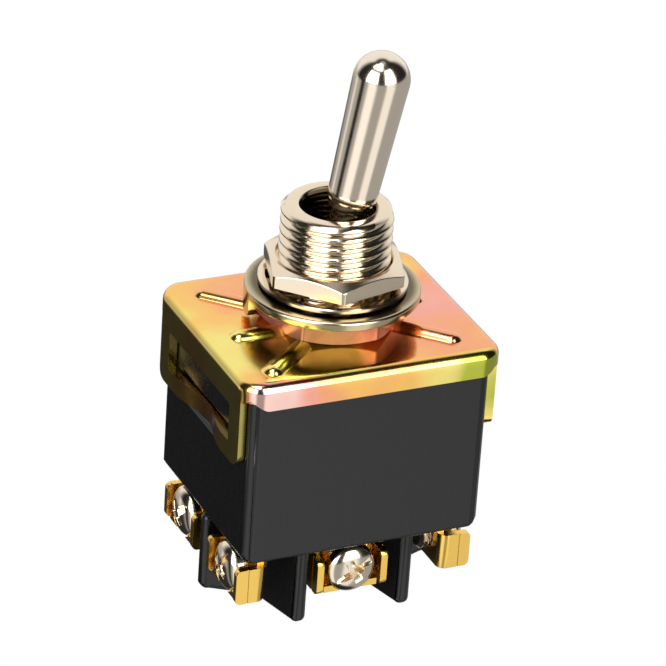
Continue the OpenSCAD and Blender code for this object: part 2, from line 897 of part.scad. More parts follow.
// Pan-head screw along +X with its head's face at x = face.
module terminal_screw(face, under) {
    head_r = screw_head_d / 2;
    back = face - screw_head_h;
    color(nickel)
        translate([0, 0, screw_z])
            rotate([25, 0, 0])
                difference() {
                    union() {
                        translate([under, 0, 0])
                            rotate([0, 90, 0])
                                cylinder(d = screw_d, h = back - under + eps);
                        translate([back, 0, 0])
                            rotate([0, 90, 0])
                                cylinder(r = head_r, h = 0.5 * screw_head_h);
                        translate([back + 0.5 * screw_head_h - eps, 0, 0])
                            rotate([0, 90, 0])
                                cylinder(r1 = head_r, r2 = head_r - 0.3, h = 0.3 * screw_head_h + eps);
                        translate([back + 0.8 * screw_head_h - eps, 0, 0])
                            rotate([0, 90, 0])
                                cylinder(r1 = head_r - 0.3, r2 = head_r - 1.0, h = 0.2 * screw_head_h + eps);
                    }
                    // slot across the head, and the shorter cut of the cross recess
                    translate([face - 0.7, -0.4, -head_r - 1])
                        cube([2, 0.8, 2 * head_r + 2]);
                    translate([face - 1.2, -head_r * 0.6, -0.45])
                        cube([3, head_r * 1.2, 0.9]);
                }
}

module end_screw(side_x, side_y) {
    at_end(side_x, side_y)
        terminal_screw(end_head_back + screw_head_h, end_plate - brass_t - 1.8);
}

module middle_screw(side_y) {
    at_middle(side_y)
        translate([0, 0, -middle_drop])
            terminal_screw(middle_head_back + screw_head_h, mid_plate - brass_t - 1.0);
}

housing();
mounting_bracket();
insulator_plate();
bushing();
lower_hex_nut();
locating_washer();
tooth_lock_washer();
upper_hex_nut();
lever();
hinge_pin();
actuator();
spring(-1);  // spring_front
spring(1);  // spring_rear
plunger(-1);  // plunger_front
plunger(1);  // plunger_rear
rocker(-1);  // rocker_front
rocker(1);  // rocker_rear
rocker_contacts(-1);  // rocker_contacts_front
rocker_contacts(1);  // rocker_contacts_rear
pivot_post(-1);  // pivot_post_front
pivot_post(1);  // pivot_post_rear
end_terminal(-1, -1);  // terminal_left_front
end_terminal(1, -1);  // terminal_right_front
end_terminal(-1, 1);  // terminal_left_rear
end_terminal(1, 1);  // terminal_right_rear
middle_terminal(-1);  // terminal_middle_front
middle_terminal(1);  // terminal_middle_rear
fixed_contact(-1, -1);  // fixed_contact_left_front
fixed_contact(1, -1);  // fixed_contact_right_front
fixed_contact(-1, 1);  // fixed_contact_left_rear
fixed_contact(1, 1);  // fixed_contact_right_rear
end_screw(-1, -1);  // terminal_screw_left_front
end_screw(1, -1);  // terminal_screw_right_front
end_screw(-1, 1);  // terminal_screw_left_rear
end_screw(1, 1);  // terminal_screw_right_rear
middle_screw(-1);  // terminal_screw_middle_front
middle_screw(1);  // terminal_screw_middle_rear
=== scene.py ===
"""Looks for the panel toggle switch. Lengths in this script are in millimetres and leave it in metres."""

import math

import bmesh
import bpy
from mathutils import Matrix, Vector


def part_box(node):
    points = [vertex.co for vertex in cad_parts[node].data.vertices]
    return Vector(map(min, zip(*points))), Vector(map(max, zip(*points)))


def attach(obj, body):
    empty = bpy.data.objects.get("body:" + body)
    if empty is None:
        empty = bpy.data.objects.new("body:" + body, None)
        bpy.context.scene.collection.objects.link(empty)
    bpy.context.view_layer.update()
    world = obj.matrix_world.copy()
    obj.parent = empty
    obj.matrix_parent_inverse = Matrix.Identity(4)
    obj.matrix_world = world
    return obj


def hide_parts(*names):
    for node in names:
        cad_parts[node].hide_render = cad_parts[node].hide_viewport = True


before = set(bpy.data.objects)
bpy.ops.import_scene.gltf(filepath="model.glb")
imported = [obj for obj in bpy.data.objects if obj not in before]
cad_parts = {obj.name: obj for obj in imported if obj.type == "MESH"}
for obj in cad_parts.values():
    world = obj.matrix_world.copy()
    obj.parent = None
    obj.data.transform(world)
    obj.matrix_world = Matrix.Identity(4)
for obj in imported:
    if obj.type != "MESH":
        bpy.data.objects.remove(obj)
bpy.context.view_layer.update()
MM = 0.001

# ---- threaded bushing ----
# Turned brass with bright nickel plating: a thread outside, a bore with turning marks and a socket for the
# lever's ball. Its flange lies under the bracket's plate, and the nuts grip plate and panel on its thread.

THREAD_R = 6.0
THREAD_DEPTH = 0.52
THREAD_PITCH = 1.15
BUSHING_TOP = 13.3
BORE_R = 3.95
MARK_PITCH = 0.62
MARK_DEPTH = 0.09
THROAT_Z = 7.2
SOCKET_R = 3.46
PIVOT_Z = 5.4
NICKEL = (0.83, 0.70, 0.53)


def node(tree, kind, **settings):
    made = tree.nodes.new(kind)
    for key, value in settings.items():
        setattr(made, key, value)
    return made


def link(tree, out_socket, in_socket):
    tree.links.new(out_socket, in_socket)


def math_node(tree, operation, first, second=None):
    made = node(tree, "ShaderNodeMath", operation=operation)
    for index, value in enumerate((first, second)):
        if value is None:
            continue
        if isinstance(value, (int, float)):
            made.inputs[index].default_value = value
        else:
            link(tree, value, made.inputs[index])
    return made.outputs[0]


def mapped(tree, value, low, high, to_low, to_high):
    """Takes a value from one range to another with a smooth rise, and holds it outside."""
    made = node(tree, "ShaderNodeMapRange", interpolation_type="SMOOTHSTEP")
    for key, number in (("From Min", low), ("From Max", high), ("To Min", to_low), ("To Max", to_high)):
        made.inputs[key].default_value = number
    link(tree, value, made.inputs["Value"])
    return made.outputs[0]


def build_fine_polish_group():
    """Fine uneven polish: a height for a bump and a small change of roughness."""
    group = bpy.data.node_groups.new("fine_polish", "ShaderNodeTree")
    for name, way in (
        ("Scale", "INPUT"),
        ("Base Roughness", "INPUT"),
        ("Spread", "INPUT"),
        ("Height", "OUTPUT"),
        ("Roughness", "OUTPUT"),
    ):
        group.interface.new_socket(name, in_out=way, socket_type="NodeSocketFloat")
    entry = node(group, "NodeGroupInput")
    exit_node = node(group, "NodeGroupOutput")
    place = node(group, "ShaderNodeTexCoord")
    noise = node(group, "ShaderNodeTexNoise")
    noise.inputs["Detail"].default_value = 4.0
    link(group, place.outputs["Object"], noise.inputs["Vector"])
    link(group, entry.outputs["Scale"], noise.inputs["Scale"])
    centred = math_node(group, "SUBTRACT", noise.outputs["Fac"], 0.5)
    change = math_node(group, "MULTIPLY", centred, entry.outputs["Spread"])
    total = math_node(group, "ADD", entry.outputs["Base Roughness"], change)
    link(group, noise.outputs["Fac"], exit_node.inputs["Height"])
    link(group, total, exit_node.inputs["Roughness"])
    return group


fine_polish = build_fine_polish_group()


def new_material(name, **values):
    """A Principled material with these inputs set. Returns the material, its tree and the shader."""
    material = bpy.data.materials.new(name)
    material.use_nodes = True
    tree = material.node_tree
    shader = tree.nodes["Principled BSDF"]
    for key, value in values.items():
        shader.inputs[key.replace("_", " ")].default_value = value
    return material, tree, shader


def add_fine_polish(tree, shader, scale, roughness, spread, strength, depth=0.00002):
    worn = node(tree, "ShaderNodeGroup", node_tree=fine_polish)
    worn.inputs["Scale"].default_value = scale
    worn.inputs["Base Roughness"].default_value = roughness
    worn.inputs["Spread"].default_value = spread
    bump = node(tree, "ShaderNodeBump")
    bump.inputs["Strength"].default_value = strength
    bump.inputs["Distance"].default_value = depth
    link(tree, worn.outputs["Height"], bump.inputs["Height"])
    link(tree, worn.outputs["Roughness"], shader.inputs["Roughness"])
    link(tree, bump.outputs["Normal"], shader.inputs["Normal"])


def plated(name, colour, roughness, scale=900.0, strength=0.15):
    """Bright plated metal."""
    material, tree, shader = new_material(name, Metallic=1.0, Base_Color=(*colour, 1.0))
    add_fine_polish(tree, shader, scale, roughness, 0.1, strength)
    return material


def paint_shade_within(material, colour, radius_mm, blend_mm):
    """Paints shade into plated metal: a darker colour within this radius of the Z axis."""
    tree = material.node_tree
    place = node(tree, "ShaderNodeTexCoord").outputs["Object"]
    flat = node(tree, "ShaderNodeVectorMath", operation="MULTIPLY")
    link(tree, place, flat.inputs[0])
    flat.inputs[1].default_value = (1, 1, 0)
    out = node(tree, "ShaderNodeVectorMath", operation="LENGTH")
    link(tree, flat.outputs["Vector"], out.inputs[0])
    base_colour = tree.nodes["Principled BSDF"].inputs["Base Color"]
    mix = node(tree, "ShaderNodeMix", data_type="RGBA")
    shade_side, bright_side = mix.inputs[6], mix.inputs[7]
    outside = mapped(tree, out.outputs["Value"], radius_mm * MM, (radius_mm + blend_mm) * MM, 0.0, 1.0)
    link(tree, outside, mix.inputs[0])
    shade_side.default_value = (*colour, 1.0)
    if base_colour.is_linked:
        link(tree, base_colour.links[0].from_socket, bright_side)
    else:
        bright_side.default_value = base_colour.default_value
    link(tree, mix.outputs[2], base_colour)


def make_object(built, name, material, sharp_deg=35.0, place=Matrix.Identity(4)):
    """Makes a bmesh in millimetres a smooth-shaded object, with creases kept above sharp_deg."""
    bmesh.ops.transform(built, matrix=Matrix.Diagonal((MM, MM, MM, 1)) @ place, verts=built.verts)
    bmesh.ops.remove_doubles(built, verts=built.verts, dist=1e-7)
    bmesh.ops.recalc_face_normals(built, faces=built.faces)
    mesh = bpy.data.meshes.new(name)
    built.to_mesh(mesh)
    built.free()
    mesh.shade_smooth()
    mesh.set_sharp_from_angle(angle=math.radians(sharp_deg))
    mesh.materials.append(material)
    made = bpy.data.objects.new(name, mesh)
    bpy.context.scene.collection.objects.link(made)
    return made


def lathe(name, profile, steps, material, sharp_deg=35.0, place=Matrix.Identity(4), shape_at=None):
    """Spins a profile of (radius, height) about Z. It is closed first, unless both ends lie on the axis.

    shape_at takes a point's radius, height and angle, and gives its new radius and height.
    """
    built = bmesh.new()
    verts = [built.verts.new((r, 0, z)) for r, z in profile]
    on_axis = profile[0][0] < 1e-6 and profile[-1][0] < 1e-6
    following = verts[1:] if on_axis else verts[1:] + verts[:1]
    edges = [built.edges.new(pair) for pair in zip(verts, following)]
    bmesh.ops.spin(
        built,
        geom=verts + edges,
        cent=(0, 0, 0),
        axis=(0, 0, 1),
        angle=math.tau,
        steps=steps,
        use_merge=True,
    )
    if shape_at:
        for vert in built.verts:
            a = math.atan2(vert.co.y, vert.co.x)
            r, z = shape_at(math.hypot(vert.co.x, vert.co.y), vert.co.z, a)
            vert.co = (r * math.cos(a), r * math.sin(a), z)
    return make_object(built, name, material, sharp_deg, place)


def arc(cx, cz, r, start_deg, end_deg, steps):
    """Points on a circle in a profile, from one angle to the other."""
    made = []
    for s in range(steps + 1):
        a = math.radians(start_deg + (end_deg - start_deg) * s / steps)
        made.append((cx + r * math.cos(a), cz + r * math.sin(a)))
    return made


def finish_piece(obj, body, slot_name, *replaced):
    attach(obj, body)
    if replaced:
        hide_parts(*replaced)


def thread_wave(z, a, pitch):
    """0 on the crest and 1 at the root, with both a little rounded."""
    phase = (z / pitch - a / math.tau) % 1.0
    rise = abs(2 * phase - 1)
    rise = min(max((rise - 0.14) / 0.74, 0.0), 1.0)
    return rise * rise * (3 - 2 * rise) * 0.35 + rise * 0.65


def bushing_shape(r, z, a):
    """Cuts the thread outside, fading out towards the flange, and the turning marks in the bore."""
    if r > 5.2 and -0.6 < z < BUSHING_TOP - 0.05:
        fade = min(1.0, (z + 0.6) / 0.8)
        return min(THREAD_R - THREAD_DEPTH * fade * thread_wave(z, a, THREAD_PITCH), r), z
    if abs(r - BORE_R) < 0.01:
        return r - MARK_DEPTH * (1 - thread_wave(z, a, MARK_PITCH)), z
    return r, z


mat_bushing = plated("bushing nickel", NICKEL, 0.14)
# painted shade: the bore is darker within 4 mm of the axis, in place of the shade inside it
paint_shade_within(mat_bushing, (0.16, 0.13, 0.09), 4.0, 0.2)

bushing_profile = [(SOCKET_R, -1.9), (7.4, -1.9), (7.5, -1.8), (7.5, -1.0), (7.4, -0.92), (THREAD_R, -0.92)]
thread_rows = 130
for i in range(thread_rows + 1):
    bushing_profile.append((THREAD_R, -0.85 + 13.6 * i / thread_rows))
bushing_profile += [(5.75, 12.98), (5.45, 13.2), (5.15, BUSHING_TOP), (4.5, BUSHING_TOP)]
bushing_profile += [(4.22, 13.26), (4.05, 13.1), (BORE_R + 0.02, 12.9)]
bore_rows = 70
for i in range(bore_rows + 1):
    bushing_profile.append((BORE_R, 12.8 - 4.4 * i / bore_rows))
bushing_profile += [(BORE_R, 8.3), (2.95, 8.1), (2.9, THROAT_Z)]
bushing_profile += arc(0, PIVOT_Z, SOCKET_R, 33, 0, 8)
bushing = lathe("bushing_turned", bushing_profile, 160, mat_bushing, 40, shape_at=bushing_shape)
finish_piece(bushing, "housing", "nickel", "bushing")

# ---- hexagon nuts ----
# Two steel nuts cut from hexagon bar, with corners chamfered by turning. The lower one has a yellow zinc
# passivation and sits on the bracket. The upper one is nickel plated and clamps the panel.

NUT_ACROSS = 14.0
NUT_STOPS = (
    (0.0, (0.58, 0.36, 0.15)),
    (0.4, (0.54, 0.22, 0.17)),
    (0.7, (0.44, 0.16, 0.13)),
    (1.0, (0.26, 0.17, 0.10)),
)


def ramp(tree, factor, stops):
    """A colour ramp with soft steps between (place, colour) stops."""
    made = node(tree, "ShaderNodeValToRGB")
    made.color_ramp.interpolation = "EASE"
    elements = made.color_ramp.elements
    while len(elements) < len(stops):
        elements.new(0.5)
    for element, (place, colour) in zip(elements, stops):
        element.position = place
        element.color = (*colour, 1.0)
    link(tree, factor, made.inputs[0])
    return made.outputs[0]


def passivated(name, stops, roughness, level, noise_scale, noise_amount, more_tint=None):
    """Zinc with a yellow passivation, whose tint drifts with place and with the angle of view.

    more_tint takes the node tree, and gives an output that is added to the tint.
    """
    material, tree, shader = new_material(name, Metallic=1.0)
    place = node(tree, "ShaderNodeTexCoord").outputs["Object"]
    cloud = node(tree, "ShaderNodeTexNoise")
    cloud.inputs["Scale"].default_value = noise_scale
    cloud.inputs["Detail"].default_value = 2.0
    link(tree, place, cloud.inputs["Vector"])
    facing = node(tree, "ShaderNodeLayerWeight")
    facing.inputs["Blend"].default_value = 0.5
    drift = math_node(tree, "MULTIPLY", math_node(tree, "SUBTRACT", cloud.outputs["Fac"], 0.5), noise_amount)
    edgewise = math_node(tree, "MULTIPLY", facing.outputs["Facing"], 0.12)
    tint = math_node(tree, "ADD", math_node(tree, "ADD", drift, edgewise), level)
    if more_tint:
        tint = math_node(tree, "ADD", tint, more_tint(tree))
    link(tree, ramp(tree, tint, stops), shader.inputs["Base Color"])
    add_fine_polish(tree, shader, 700.0, roughness, 0.1, 0.1)
    return material


def box_mm(name):
    low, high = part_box(name)
    return low / MM, high / MM


def hex_nut(name, turn_deg, low_z, high_z, low_chamfer, material):
    """Spins a nut whose rim reaches 1 mm past its chamfer's start, then pulls that rim out to the hexagon."""
    flat = NUT_ACROSS / 2
    height = high_z - low_z
    chamfer_r = flat * 0.955
    slope = math.tan(math.radians(28))
    edge = 0.05
    bore = THREAD_R - 0.1
    half = [(bore, 0.35), (bore + 0.4, 0.0)]
    half += [(chamfer_r + share, 0.0) for share in (0.0, 0.33, 0.66, 1.0)]
    half.append((chamfer_r + 1.0 + edge, edge))
    profile = half + [(r, height - z) for r, z in reversed(half)]

    def hexagon(r, z, a):
        share = r - chamfer_r
        if share < 0.01:
            return r, z
        straight = flat / math.cos(a % (math.pi / 3) - math.pi / 6)
        rounded = flat / math.cos(math.pi / 6) - 0.6 * 0.155
        reach = min(straight, rounded)
        if share < 1.0 + edge / 2:
            reach = chamfer_r + (reach - edge - chamfer_r) * share
        drop = max(0.0, (reach - chamfer_r) * slope)
        if z > height / 2:
            return reach, z - drop
        return reach, z + (drop if low_chamfer else 0.0)

    place = Matrix.Translation((0, 0, low_z)) @ Matrix.Rotation(math.radians(turn_deg), 4, "Z")
    return lathe(name, profile, 480, material, 14, place, hexagon)


mat_nut = passivated("nut zinc", NUT_STOPS, 0.32, 0.45, 500.0, 0.8)
mat_nut.node_tree.nodes["Principled BSDF"].inputs["Metallic"].default_value = 0.6
low, high = box_mm("lower_hex_nut")
lower_nut = hex_nut("lower_nut_turned", -16, low.z, high.z, True, mat_nut)
finish_piece(lower_nut, "housing", "nut_zinc", "lower_hex_nut")

mat_nickel = plated("bright nickel", NICKEL, 0.14)
low, high = box_mm("upper_hex_nut")
upper_nut = hex_nut("upper_nut_turned", 13.5, low.z, high.z, False, mat_nickel)
finish_piece(upper_nut, "housing", "nickel", "upper_hex_nut")

# ---- locating washer ----
# Stamped from zinc-plated steel sheet, with a rounded upper edge. One tab is bent down at its rim, and it lies
# on the lower nut, loose on the thread.

WASHER_R = 9.4
WASHER_LOW = 3.02
WASHER_STOPS = (
    (0.0, (0.56, 0.56, 0.34)),
    (0.4, (0.64, 0.53, 0.34)),
    (0.7, (0.68, 0.52, 0.36)),
    (1.0, (0.70, 0.48, 0.36)),
)
TAB_MID = math.radians(163)
TAB_HALF = 2.3
TAB_COLUMNS = 25
TAB_BEND_ROWS = 7
TAB_ROWS = 22


def add_bevel(obj, width_mm, segments, limit_deg):
    bevel = obj.modifiers.new("rounded edges", "BEVEL")
    bevel.width = width_mm * MM
    bevel.segments = segments
    bevel.limit_method = "ANGLE"
    bevel.angle_limit = math.radians(limit_deg)
    bevel.harden_normals = True
    return bevel


def two_skins(name, outer, inner, keep, wrap, material, sharp_deg=35.0):
    """A bent sheet from two grids of points, one a skin. keep(i, j) says which cells exist."""
    built = bmesh.new()
    tops = [[built.verts.new(p) for p in column] for column in outer]
    unders = [[built.verts.new(p) for p in column] for column in inner]
    for i in range(len(outer) if wrap else len(outer) - 1):
        k = (i + 1) % len(outer)
        for j in range(len(outer[0]) - 1):
            if keep(i, j):
                built.faces.new((tops[i][j], tops[k][j], tops[k][j + 1], tops[i][j + 1]))
                built.faces.new((unders[i][j + 1], unders[k][j + 1], unders[k][j], unders[i][j]))
    below = {}
    for top_column, under_column in zip(tops, unders):
        below.update(zip(top_column, under_column))
    for edge in [e for e in built.edges if e.is_boundary and e.verts[0] in below]:
        a, b = edge.verts
        built.faces.new((b, a, below[a], below[b]))
    bmesh.ops.delete(built, geom=[v for v in built.verts if not v.link_faces], context="VERTS")
    return make_object(built, name, material, sharp_deg)


mat_washer = passivated("washer zinc", WASHER_STOPS, 0.2, 0.35, 150.0, 0.8)
# painted shade: a dark ring round the thread, in place of the shade and dark reflection under the lock washer
paint_shade_within(mat_washer, (0.13, 0.10, 0.05), 8.3, 1.2)
low, high = box_mm("locating_washer")
washer_top = high.z
washer_profile = [(THREAD_R + 0.27, WASHER_LOW), (WASHER_R - 0.12, WASHER_LOW)]
washer_profile += arc(WASHER_R - 0.12, WASHER_LOW + 0.12, 0.12, -60, 0, 3)
washer_profile += arc(WASHER_R - 0.34, washer_top - 0.34, 0.34, 0, 90, 8)
washer_profile += [(THREAD_R + 0.37, washer_top), (THREAD_R + 0.27, washer_top - 0.1)]
washer = lathe("locating_ring", washer_profile, 200, mat_washer)
finish_piece(washer, "housing", "washer_zinc")

tab_outer, tab_inner = [], []
for i in range(TAB_COLUMNS):
    across = TAB_HALF * (2 * i / (TAB_COLUMNS - 1) - 1)
    a = TAB_MID + across / WASHER_R
    corner = max(0.0, abs(across) - 1.5) / 0.8
    reach = 2.1 - 0.8 * (1 - math.sqrt(max(0.0, 1 - corner**2)))
    out_column, in_column = [], []
    for j in range(TAB_ROWS):
        bend = math.pi / 2 * min(j / TAB_BEND_ROWS, 1.0)
        fall = max(0.0, (j - TAB_BEND_ROWS) / (TAB_ROWS - 1 - TAB_BEND_ROWS))
        r_out = WASHER_R - 0.5 + 0.5 * math.sin(bend)
        z_out = washer_top - 0.5 + 0.5 * math.cos(bend)
        r_in = WASHER_R - 0.9 + 0.05 * math.sin(bend)
        z_in = washer_top - 0.9 + 0.05 * math.cos(bend)
        z_out -= (washer_top - 0.5 - WASHER_LOW + reach) * fall
        z_in -= (washer_top - 0.9 - WASHER_LOW + reach) * fall
        out_column.append((r_out * math.cos(a), r_out * math.sin(a), z_out))
        in_column.append((r_in * math.cos(a), r_in * math.sin(a), z_in))
    tab_outer.append(out_column)
    tab_inner.append(in_column)
tab = two_skins("locating_tab", tab_outer, tab_inner, lambda i, j: True, False, mat_washer)
add_bevel(tab, 0.1, 2, 50)
finish_piece(tab, "housing", "washer_zinc", "locating_washer")

# ---- tooth lock washer ----
# A ring of nickel-plated spring steel with teeth inside. Each tooth is twisted, so that it bites into the nut
# above and the panel or washer below.

LOCK_R = 8.0
LOCK_TEETH = 11
LOCK_HALF_T = 0.25
TOOTH_HALF_T = 0.2
TOOTH_ROOT_R = LOCK_R - 0.7
TOOTH_LEN = TOOTH_ROOT_R - THREAD_R - 0.15
TOOTH_TWIST = math.radians(24)

low, high = box_mm("tooth_lock_washer")
lock_mid = low.z + 0.42
lock_profile = [(LOCK_R - 0.75, lock_mid - LOCK_HALF_T), (LOCK_R - 0.06, lock_mid - LOCK_HALF_T)]
lock_profile += [(LOCK_R, lock_mid - LOCK_HALF_T + 0.06), (LOCK_R, lock_mid + LOCK_HALF_T - 0.1)]
lock_profile += [(LOCK_R - 0.1, lock_mid + LOCK_HALF_T), (LOCK_R - 0.75, lock_mid + LOCK_HALF_T)]
lock_ring = lathe("lock_washer_ring", lock_profile, 160, mat_nickel)
finish_piece(lock_ring, "housing", "nickel")

teeth = bmesh.new()
bmesh.ops.create_cube(teeth, size=2.0)
long_edges = [e for e in teeth.edges if abs(e.verts[0].co.x - e.verts[1].co.x) > 1.0]
bmesh.ops.subdivide_edges(teeth, edges=long_edges, cuts=5, use_grid_fill=True)
for vert in teeth.verts:
    along = (1 - vert.co.x) / 2
    half_w = 1.15 - 0.25 * along
    section = Matrix.Rotation(TOOTH_TWIST * along, 3, "X") @ Vector(
        (0, vert.co.y * half_w, vert.co.z * TOOTH_HALF_T)
    )
    vert.co = section + Vector((TOOTH_ROOT_R - TOOTH_LEN * along, 0, lock_mid))
tooth_step = math.tau / LOCK_TEETH
first_turn = Matrix.Rotation(0.3 * tooth_step, 3, "Z")
bmesh.ops.rotate(teeth, verts=teeth.verts, cent=(0, 0, 0), matrix=first_turn)
bmesh.ops.spin(
    teeth,
    geom=teeth.verts[:] + teeth.edges[:] + teeth.faces[:],
    cent=(0, 0, 0),
    axis=(0, 0, 1),
    angle=tooth_step * (LOCK_TEETH - 1),
    steps=LOCK_TEETH - 1,
    use_duplicate=True,
)
# painted shade: the teeth are a darker copy of the ring's nickel, in place of the shade in the gap under the nut
mat_tooth_shaded = plated("lock washer nickel painted shade", (0.46, 0.36, 0.21), 0.2)
lock_teeth = make_object(teeth, "lock_washer_teeth", mat_tooth_shaded)
add_bevel(lock_teeth, 0.06, 2, 50)
finish_piece(lock_teeth, "housing", "nickel", "tooth_lock_washer")

# ---- lever ----
# One turned and nickel-plated piece: a grip that widens to a round end, a thin neck, a ball that the hinge pin
# goes through, and a stem that carries the actuator.

LEAN = math.radians(10.5)
GRIP_ROOT = 8.45
GRIP_ROOT_R = 2.65
GRIP_END = 22.05
GRIP_END_R = 3.05
BALL_R = 3.4
NECK_R = 1.8

lever_profile = [(0.0, -11.8), (1.5, -11.8), (1.7, -11.6), (1.7, -2.94)]
lever_profile += arc(0, 0, BALL_R, -60, 58, 24)
lever_profile += [(NECK_R, 2.9), (NECK_R, GRIP_ROOT - 1.25), (2.25, GRIP_ROOT - 1.0)]
lever_profile += [(2.34, GRIP_ROOT - 0.88), (2.36, GRIP_ROOT - 0.3), (2.2, GRIP_ROOT - 0.2)]
lever_profile += [(2.2, GRIP_ROOT - 0.02), (2.48, GRIP_ROOT), (2.6, GRIP_ROOT + 0.08)]
lever_profile.append((2.64, GRIP_ROOT + 0.22))
for i in range(1, 21):
    t = i / 20
    r = GRIP_ROOT_R + (GRIP_END_R - GRIP_ROOT_R) * t
    lever_profile.append((r, GRIP_ROOT + 0.3 + (GRIP_END - GRIP_ROOT - 0.3) * t))
lever_profile += arc(0, GRIP_END, GRIP_END_R, 3, 87, 32)
lever_profile.append((0.0, GRIP_END + GRIP_END_R))
lean = Matrix.Translation((0, 0, PIVOT_Z)) @ Matrix.Rotation(LEAN, 4, "Y")
mat_lever = plated("lever nickel", (0.86, 0.75, 0.61), 0.15)
lever = lathe("lever_turned", lever_profile, 144, mat_lever, 30, lean)
finish_piece(lever, "lever", "lever_nickel", "lever")

# ---- pressed bracket ----
# Pressed from one zinc-plated steel sheet with a rainbow film of passivation. The plate is folded down on all
# sides, and a strap at each end, round an open window, is crimped into the housing to hold it.

SHEET = 0.9
CORNER_R = 2.6
BEND_R = 1.15
SKIRT_LOW = -2.9
STRAP_HEIGHT = 2.1
STRAP_HALF = 10.8
STRAP_CORNER_R = 1.5
WINDOW_TOP = -3.9
WINDOW_HALF = 8.2
CRIMP_HALF = 6.5
CRIMP = 1.2
HOLE_R = THREAD_R + 0.05
PLATE_ROWS = 12
BEND_ROWS = 10
FIRST_SKIRT = PLATE_ROWS + BEND_ROWS + 2
SIDE_COLUMNS = 76
FRONT_COLUMNS = 88
CORNER_COLUMNS = 24
ZINC_STOPS = (
    (0.00, (0.50, 0.55, 0.07)),
    (0.15, (0.93, 0.78, 0.22)),
    (0.35, (0.95, 0.55, 0.15)),
    (0.55, (0.92, 0.40, 0.19)),
    (0.75, (0.92, 0.40, 0.30)),
    (1.00, (0.95, 0.62, 0.55)),
)
# centre in mm, radius in mm and what it adds to the tint
BRACKET_PATCHES = (
    ((-8, 8, 0), 12, 0.28),
    ((-4.5, -8.5, 0), 8, -0.6),
    ((-13, -12, 0), 5, 0.25),
    ((12, 1, 0), 8, 0.16),
    ((11, 9, 0), 7, -0.42),
    ((16, -9, -6), 9, -0.75),
    ((-16, 0, -8), 10, 0.3),
)
# what each mm along X adds to the tint, and the level and drift that the front skirt adds
DRIFT_PER_MM = 0.017
FRONT_LEVEL = 0.14
FRONT_PER_MM = -0.062


def patch_at(tree, place, centre_mm, radius_mm, amount):
    """A round patch that adds amount at its centre and fades to nothing at its radius."""
    away = node(tree, "ShaderNodeVectorMath", operation="DISTANCE")
    link(tree, place, away.inputs[0])
    away.inputs[1].default_value = [c * MM for c in centre_mm]
    return mapped(tree, away.outputs["Value"], 0.0, radius_mm * MM, amount, 0.0)


def bracket_tint(tree):
    """The drift along the bracket, its patches and the front skirt's own drift."""
    place = node(tree, "ShaderNodeTexCoord").outputs["Object"]
    split = node(tree, "ShaderNodeSeparateXYZ")
    link(tree, place, split.inputs[0])
    total = math_node(tree, "MULTIPLY", split.outputs["X"], DRIFT_PER_MM / MM)
    for patch in BRACKET_PATCHES:
        total = math_node(tree, "ADD", total, patch_at(tree, place, *patch))
    front = math_node(tree, "MULTIPLY", split.outputs["X"], FRONT_PER_MM / MM)
    front = math_node(tree, "ADD", front, FRONT_LEVEL)
    on_front = mapped(tree, split.outputs["Y"], -12.5 * MM, -11.3 * MM, 1.0, 0.0)
    return math_node(tree, "ADD", total, math_node(tree, "MULTIPLY", front, on_front))


mat_bracket = passivated("bracket zinc", ZINC_STOPS, 0.15, 0.34, 150.0, 0.35, bracket_tint)

low, high = box_mm("mounting_bracket")
half_w, half_d = high.x, high.y
strap_low = low.z
strap_top = strap_low + STRAP_HEIGHT


def corner_point(turn, angle):
    """A point on one of the outline's round corners, and its outward direction."""
    a = math.radians(turn * 90 + angle)
    cx = (half_w - CORNER_R) * (1 if turn in (0, 3) else -1)
    cy = (half_d - CORNER_R) * (1 if turn in (0, 1) else -1)
    out = Vector((math.cos(a), math.sin(a), 0))
    return Vector((cx, cy, 0)) + out * CORNER_R, out


def perimeter():
    """The whole outline, anticlockwise from the right side, as points and outward directions."""
    made = []
    cx, cy = half_w - CORNER_R, half_d - CORNER_R
    marks = {-cy + 2 * cy * i / SIDE_COLUMNS for i in range(SIDE_COLUMNS + 1)}
    marks = sorted(marks | {-cy, cy, -WINDOW_HALF, WINDOW_HALF})
    for turn in range(4):
        sign = 1 if turn < 2 else -1
        if turn % 2 == 0:
            for y in marks[1:-1]:
                made.append((Vector((sign * half_w, sign * y, 0)), Vector((sign, 0, 0))))
        else:
            for i in range(1, FRONT_COLUMNS):
                x = cx - 2 * cx * i / FRONT_COLUMNS
                made.append((Vector((sign * x, sign * half_d, 0)), Vector((0, sign, 0))))
        for k in range(CORNER_COLUMNS + 1):
            made.append(corner_point(turn, 90 * k / CORNER_COLUMNS))
    return made


def skirt_low_at(point, out):
    """How far down the skirt reaches at a place on the outline."""
    if abs(out.x) > 0.7 and abs(point.y) <= STRAP_HALF:
        short = max(0.0, STRAP_CORNER_R - (STRAP_HALF - abs(point.y)))
        return strap_low + STRAP_CORNER_R - math.sqrt(max(0.0, STRAP_CORNER_R**2 - short**2))
    corner = min(abs(out.x), abs(out.y)) / math.sin(math.pi / 4)
    return SKIRT_LOW + 1.1 * corner**1.5


def is_strap(bottom):
    return bottom < SKIRT_LOW - 2


def skirt_levels(bottom):
    """Heights of the skirt's rows, with a row at each edge of the window."""
    levels = [-1.6, -2.1]
    if is_strap(bottom):
        levels += [-2.6, -3.2, WINDOW_TOP, -5.0, -6.1, -7.2, strap_top]
        return levels + [strap_top + (bottom - strap_top) * t for t in (0.2, 0.4, 0.6, 0.8, 1.0)]
    return levels + [-2.1 + (bottom + 2.1) * t / 12 for t in range(1, 13)]


def crimp_at(point, bottom, z):
    """How far the strap is pressed in at a height of the skirt."""
    if is_strap(bottom) and z <= strap_top + 1e-6 and abs(point.y) < CRIMP_HALF:
        return CRIMP * (1 + math.cos(math.pi * point.y / CRIMP_HALF)) / 2
    return 0.0


